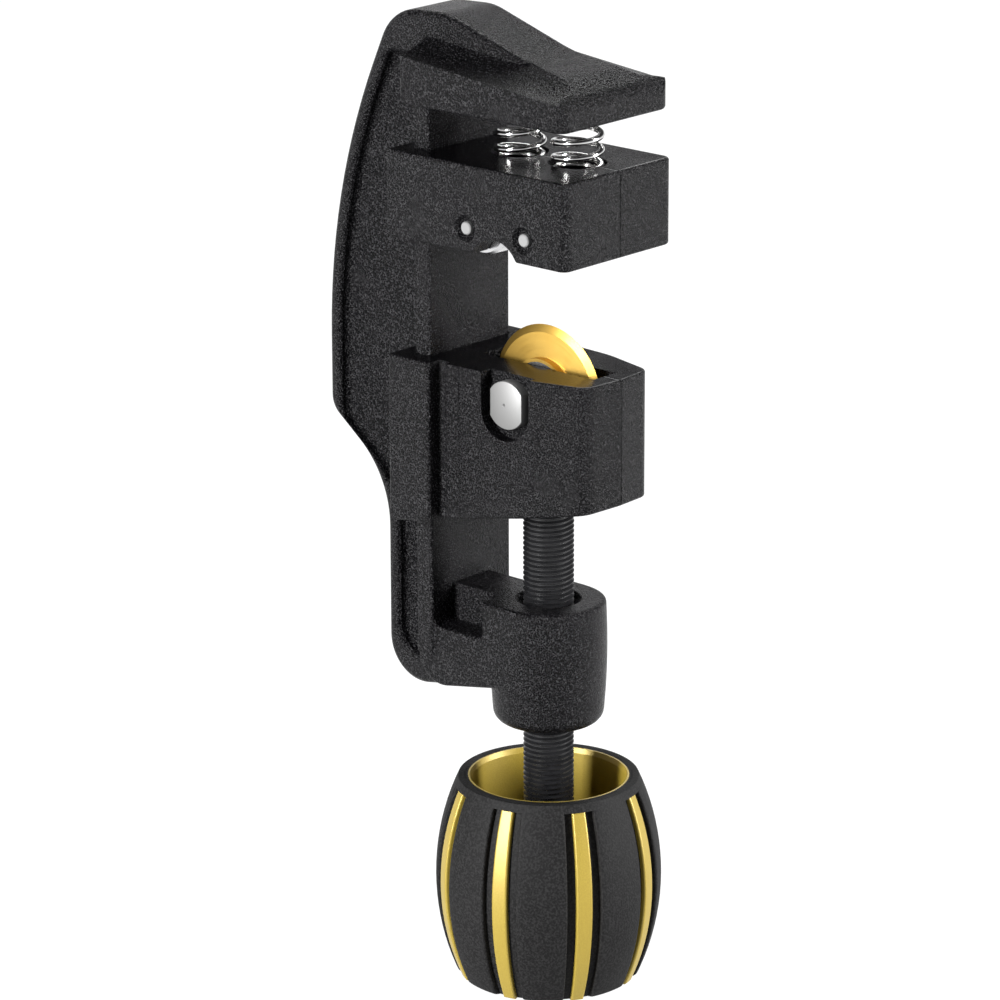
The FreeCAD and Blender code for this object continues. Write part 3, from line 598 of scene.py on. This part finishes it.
# %% Spin the thread
screw_mesh = bmesh.new()
profile_points = []
for profile_radius, share in thread_profile:
    place = (profile_radius, 0.0, THREAD_LOW - PITCH + share * PITCH)
    profile_points.append(screw_mesh.verts.new(place))
profile_edges = [screw_mesh.edges.new(pair) for pair in zip(profile_points, profile_points[1:])]
bmesh.ops.spin(
    screw_mesh,
    geom=profile_points + profile_edges,
    cent=(0.0, 0.0, 0.0),
    axis=(0.0, 0.0, 1.0),
    dvec=(0.0, 0.0, PITCH / STEPS_PER_TURN),
    angle=2 * math.pi,
    steps=STEPS_PER_TURN,
    use_merge=False,
)
turns_made = 1
while turns_made < turns_needed:
    copy = bmesh.ops.duplicate(
        screw_mesh, geom=screw_mesh.verts[:] + screw_mesh.edges[:] + screw_mesh.faces[:]
    )
    copied = [item for item in copy["geom"] if isinstance(item, bmesh.types.BMVert)]
    bmesh.ops.translate(screw_mesh, verts=copied, vec=(0.0, 0.0, turns_made * PITCH))
    turns_made *= 2
bmesh.ops.remove_doubles(screw_mesh, verts=screw_mesh.verts, dist=0.002 * MM)

cut_flat(screw_mesh, (0.0, 0.0, THREAD_LOW), Vector((0.0, 0.0, -1.0)))
cut_flat(screw_mesh, (0.0, 0.0, THREAD_HIGH), Vector((0.0, 0.0, 1.0)))
print("open edges left:", sum(1 for edge in screw_mesh.edges if not edge.is_manifold))


# %% Neck, head and stub
def add_cone(mesh, low_radius, high_radius, low, high):
    """A closed cone or cylinder about the screw's axis."""
    middle = Matrix.Translation((0.0, 0.0, (low + high) / 2))
    bmesh.ops.create_cone(
        mesh,
        cap_ends=True,
        segments=STEPS_PER_TURN,
        radius1=low_radius,
        radius2=high_radius,
        depth=high - low,
        matrix=middle,
    )


NECK_RADIUS = 3.25 * MM
CAPTIVE_HEAD_RADIUS = 4.7 * MM
STUB_RADIUS = 3.9 * MM
add_cone(screw_mesh, 4.2 * MM, NECK_RADIUS, 96.9 * MM, 97.9 * MM)
add_cone(screw_mesh, NECK_RADIUS, NECK_RADIUS, 97.6 * MM, 100.8 * MM)
add_cone(screw_mesh, CAPTIVE_HEAD_RADIUS, CAPTIVE_HEAD_RADIUS, 100.6 * MM, 102.6 * MM)
add_cone(screw_mesh, CAPTIVE_HEAD_RADIUS, 4.1 * MM, 102.5 * MM, 103.2 * MM)
add_cone(screw_mesh, STUB_RADIUS, STUB_RADIUS, 6.0 * MM, 18.5 * MM)
feed_thread = finished(screw_mesh, "feed_thread", math.radians(25))
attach(feed_thread, "feed_screw")
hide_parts("feed_screw")

# %% Black oxide
oxide = Finish("screw_black", (0.008, 0.008, 0.009), 0.26, Specular_IOR_Level=0.35)
oil = oxide.noise(2.0 * MM, detail=3.0)
oxide.set("Roughness", 0.2 + oil * 0.16)
oxide.set("Base Color", oxide.blend(oil, (0.004, 0.004, 0.0045), (0.012, 0.012, 0.013)))
oxide.bump(oxide.noise(0.15 * MM), 0.006 * MM)
feed_thread.data.materials.append(oxide.material)

# %% [markdown]
# ## Springs
# Two short springs push the roller carriage down. Each is one round wire: closed turns at both
# ends and a few open turns between them. The same spin makes it, because the climb of each step is
# free: a closed turn climbs by one wire and an open turn by more. The real springs shorten when
# the carriage rises; these coils are made at one length.

# %% Coil shape
WIRE_RADIUS = 0.62 * MM
COIL_RADIUS = 5.1 * MM - WIRE_RADIUS
CLOSED_CLIMB = 1.27 * MM
LOWER_CLOSED_TURNS = 1.5
UPPER_CLOSED_TURNS = 1.0
OPEN_TURNS = 3.4
COIL_STEPS = 40
WIRE_SIDES = 12
spring_low, spring_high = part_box("spring_front")
closed_climb = (LOWER_CLOSED_TURNS + UPPER_CLOSED_TURNS) * CLOSED_CLIMB
open_climb = (spring_high.z - spring_low.z) - 2 * WIRE_RADIUS - closed_climb
print("pitch of the open turns, mm:", round(open_climb / OPEN_TURNS / MM, 2))


def climb(mesh, ring, turns, rise, centre):
    """Spin a ring of wire round the coil's axis while it climbs, and return its last ring."""
    steps = round(COIL_STEPS * turns)
    result = bmesh.ops.spin(
        mesh,
        geom=ring,
        cent=centre,
        axis=(0.0, 0.0, 1.0),
        dvec=(0.0, 0.0, rise / steps),
        angle=2 * math.pi * turns,
        steps=steps,
        use_merge=False,
    )
    ring_parts = (bmesh.types.BMVert, bmesh.types.BMEdge)
    return [item for item in result["geom_last"] if isinstance(item, ring_parts)]


# %% Wind the springs
def wind_spring(node, start_angle):
    """A coil of round wire in the place of a CAD spring."""
    low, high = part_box(node)
    centre = Vector(((low.x + high.x) / 2, (low.y + high.y) / 2, 0.0))
    mesh = bmesh.new()
    upright = Matrix.Rotation(math.pi / 2, 4, "X")
    start = Matrix.Translation((COIL_RADIUS, 0.0, low.z + WIRE_RADIUS))
    turn = Matrix.Translation(centre) @ Matrix.Rotation(math.radians(start_angle), 4, "Z")
    place = turn @ start @ upright
    made = bmesh.ops.create_circle(mesh, segments=WIRE_SIDES, radius=WIRE_RADIUS, matrix=place)
    ring = made["verts"] + list({edge for vert in made["verts"] for edge in vert.link_edges})
    ring = climb(mesh, ring, LOWER_CLOSED_TURNS, LOWER_CLOSED_TURNS * CLOSED_CLIMB, centre)
    ring = climb(mesh, ring, OPEN_TURNS, open_climb, centre)
    ring = climb(mesh, ring, UPPER_CLOSED_TURNS, UPPER_CLOSED_TURNS * CLOSED_CLIMB, centre)
    bmesh.ops.remove_doubles(mesh, verts=mesh.verts, dist=1e-7)
    bmesh.ops.holes_fill(mesh, edges=[edge for edge in mesh.edges if edge.is_boundary], sides=0)
    coil = finished(mesh, node.replace("spring", "spring_coil"), math.radians(50))
    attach(coil, "frame")
    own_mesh(coil)
    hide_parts(node)
    return coil


coils = [wind_spring("spring_front", 200.0), wind_spring("spring_rear", 250.0)]

# %% Spring wire
chrome = Finish("spring_chrome", (0.66, 0.655, 0.65), 0.12, metallic=1.0)
draw_marks = chrome.noise(0.8 * MM)
chrome.set("Roughness", 0.09 + draw_marks * 0.1)
for coil in coils:
    coil.data.materials.append(chrome.material)

# %% [markdown]
# ## Knob
# The knob is a cup with eight ribs, painted in a metallic gold, inside a sleeve of dark rubber.
# The paint has fine flakes in it, so fine noise changes its colour and gloss and tilts the light a
# little.

# %% Gold paint
paint = Finish("knob_gold", (0.45, 0.34, 0.05), 0.42, metallic=0.3)
flakes = paint.noise(0.22 * MM)
paint.set("Base Color", paint.blend(flakes, (0.19, 0.130, 0.013), (0.32, 0.240, 0.035)))
paint.set("Roughness", 0.34 + flakes * 0.16)
paint.bump(flakes, 0.01 * MM)
dress(paint, "knob_core")

# %% [markdown]
# ## Rubber sleeve
# The rubber is matte, with a fine dry speckle from its mould. The sleeve is a thin layer with a
# raised panel between every two ribs and a rounded lip at the top. The CAD sleeve has knife-sharp
# panels, so it is made again here. A panel is a slice of the barrel: one point is swung along the
# barrel's curve to draw its section, the section is spun through the panel's angle, and the
# upright edges are bevelled. The other panels are turned copies of the first.

# %% Barrel sizes
KNOB_HEIGHT = 40.8 * MM
BELLY = 22.1 * MM
BELLY_ARC = 49.0 * MM
SLEEVE_INNER = 18.95 * MM
SLEEVE_INNER_ARC = 65.7 * MM
CHANNEL_DEPTH = 1.2 * MM
PANEL_COUNT = 8
PANEL_HALF_ANGLE = 13.3
FIRST_PANEL = 37.8
LIP_ROUND = 1.2 * MM
FOOT_ROUND = 0.9 * MM
PANEL_ROOT = 0.3 * MM
PANEL_EDGE_ROUND = 0.45 * MM
PANEL_STEPS = 10
FOLD_ANGLE = math.radians(60)
ROOT_RADIUS = 16.6 * MM
SWING_STEPS = 20
print("panel angle, degrees:", 2 * PANEL_HALF_ANGLE)


# %% Barrel section
def swing(mesh, belly, arc, low, high):
    """Points on a barrel's curve from one height to another, in the plane Y = 0."""
    middle = KNOB_HEIGHT / 2
    centre = Vector((belly - arc, 0.0, middle))
    start_turn = math.asin((low - middle) / arc)
    end_turn = math.asin((high - middle) / arc)
    start = centre + Vector((math.cos(start_turn), 0.0, math.sin(start_turn))) * arc
    first = mesh.verts.new(start)
    bmesh.ops.spin(
        mesh,
        geom=[first],
        cent=centre,
        axis=(0.0, -1.0, 0.0),
        angle=end_turn - start_turn,
        steps=SWING_STEPS,
    )
    mesh.verts.ensure_lookup_table()
    return mesh.verts[-SWING_STEPS - 1 :]


def barrel_section(mesh, outer, inner, low, high, lip, foot):
    """A closed face between two barrel curves, with its outer corners rounded."""
    outer_line = swing(mesh, outer[0], outer[1], low, high)
    outer_foot, outer_lip = outer_line[0], outer_line[-1]
    inner_line = swing(mesh, inner[0], inner[1], low, high)
    mesh.edges.new((outer_line[0], inner_line[0]))
    mesh.edges.new((outer_line[-1], inner_line[-1]))
    for corner, size in ((outer_lip, lip), (outer_foot, foot)):
        bmesh.ops.bevel(
            mesh,
            geom=[corner],
            offset=size,
            segments=5,
            profile=0.5,
            affect="VERTICES",
            material=-1,
        )
    made = bmesh.ops.contextual_create(mesh, geom=mesh.edges[:])
    return made["faces"]


# %% Panel
panel_mesh = bmesh.new()
section = barrel_section(
    panel_mesh,
    (BELLY, BELLY_ARC),
    (BELLY - CHANNEL_DEPTH - PANEL_ROOT, BELLY_ARC),
    0.0,
    KNOB_HEIGHT,
    LIP_ROUND,
    FOOT_ROUND,
)
print("panel section corners:", len(section[0].verts))
bmesh.ops.rotate(
    panel_mesh,
    verts=panel_mesh.verts,
    cent=(0.0, 0.0, 0.0),
    matrix=Matrix.Rotation(math.radians(FIRST_PANEL - PANEL_HALF_ANGLE), 3, "Z"),
)
bmesh.ops.spin(
    panel_mesh,
    geom=panel_mesh.verts[:] + panel_mesh.edges[:] + panel_mesh.faces[:],
    cent=(0.0, 0.0, 0.0),
    axis=(0.0, 0.0, 1.0),
    angle=math.radians(2 * PANEL_HALF_ANGLE),
    steps=PANEL_STEPS,
)
bmesh.ops.recalc_face_normals(panel_mesh, faces=panel_mesh.faces)


def edge_radius(edge):
    """How far the middle of an edge is from the screw's axis."""
    middle = (edge.verts[0].co + edge.verts[1].co) / 2
    return math.hypot(middle.x, middle.y)


folds = [
    edge
    for edge in panel_mesh.edges
    if edge.is_manifold and edge.calc_face_angle() > FOLD_ANGLE
]
outer_folds = [edge for edge in folds if edge_radius(edge) > ROOT_RADIUS]
bmesh.ops.bevel(
    panel_mesh,
    geom=outer_folds,
    offset=PANEL_EDGE_ROUND,
    segments=3,
    profile=0.5,
    affect="EDGES",
    material=-1,
)
print("panel faces:", len(panel_mesh.faces))

# %% All the panels
first_panel = panel_mesh.verts[:] + panel_mesh.edges[:] + panel_mesh.faces[:]
for number in range(1, PANEL_COUNT):
    copy = bmesh.ops.duplicate(panel_mesh, geom=first_panel)
    bmesh.ops.rotate(
        panel_mesh,
        verts=[item for item in copy["geom"] if isinstance(item, bmesh.types.BMVert)],
        cent=(0.0, 0.0, 0.0),
        matrix=Matrix.Rotation(2 * math.pi * number / PANEL_COUNT, 3, "Z"),
    )

# %% Base layer and lip
LAYER_FOOT_ROUND = 0.25 * MM
BASE_DROP = 0.3 * MM
BASE_ROUND = 0.3 * MM
LIP_HEIGHT = 1.6 * MM
LIP_INSET = 0.02 * MM
RING_STEPS = 96
base_layer = (BELLY - CHANNEL_DEPTH, 0.0, KNOB_HEIGHT - BASE_DROP, BASE_ROUND)
lip_ring = (BELLY - LIP_INSET, KNOB_HEIGHT - LIP_HEIGHT, KNOB_HEIGHT, LIP_ROUND)
for outer_belly, low, high, lip in (base_layer, lip_ring):
    layer_mesh = bmesh.new()
    outer = (outer_belly, BELLY_ARC)
    inner = (SLEEVE_INNER, SLEEVE_INNER_ARC)
    barrel_section(layer_mesh, outer, inner, low, high, lip, LAYER_FOOT_ROUND)
    bmesh.ops.delete(layer_mesh, geom=layer_mesh.faces[:], context="FACES_ONLY")
    bmesh.ops.spin(
        layer_mesh,
        geom=layer_mesh.verts[:] + layer_mesh.edges[:],
        cent=(0.0, 0.0, 0.0),
        axis=(0.0, 0.0, 1.0),
        angle=2 * math.pi,
        steps=RING_STEPS,
        use_merge=True,
    )
    layer = bpy.data.meshes.new("layer")
    bmesh.ops.recalc_face_normals(layer_mesh, faces=layer_mesh.faces)
    layer_mesh.to_mesh(layer)
    layer_mesh.free()
    panel_mesh.from_mesh(layer)
grip_sleeve = finished(panel_mesh, "grip_sleeve", math.radians(40))
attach(grip_sleeve, "feed_screw")
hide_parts("knob_grip")

# %% Rubber
rubber = Finish("knob_rubber", (0.016, 0.0157, 0.016), 0.7, Specular_IOR_Level=0.12)
speckle = rubber.noise(0.42 * MM, detail=3.0)
dust = rubber.noise(12.0 * MM)
dry = speckle.smooth_step(0.40, 0.66) * 0.8 + dust * 0.2
rubber.set("Base Color", rubber.blend(dry, (0.0025, 0.0024, 0.0025), (0.0135, 0.0133, 0.0135)))
rubber.set("Roughness", 0.55 + speckle * 0.25)
rubber.bump(speckle, 0.10 * MM)
dress(rubber, "knob_cap")
grip_sleeve.data.materials.append(rubber.material)
print("rubber nodes:", len(rubber.tree.nodes))
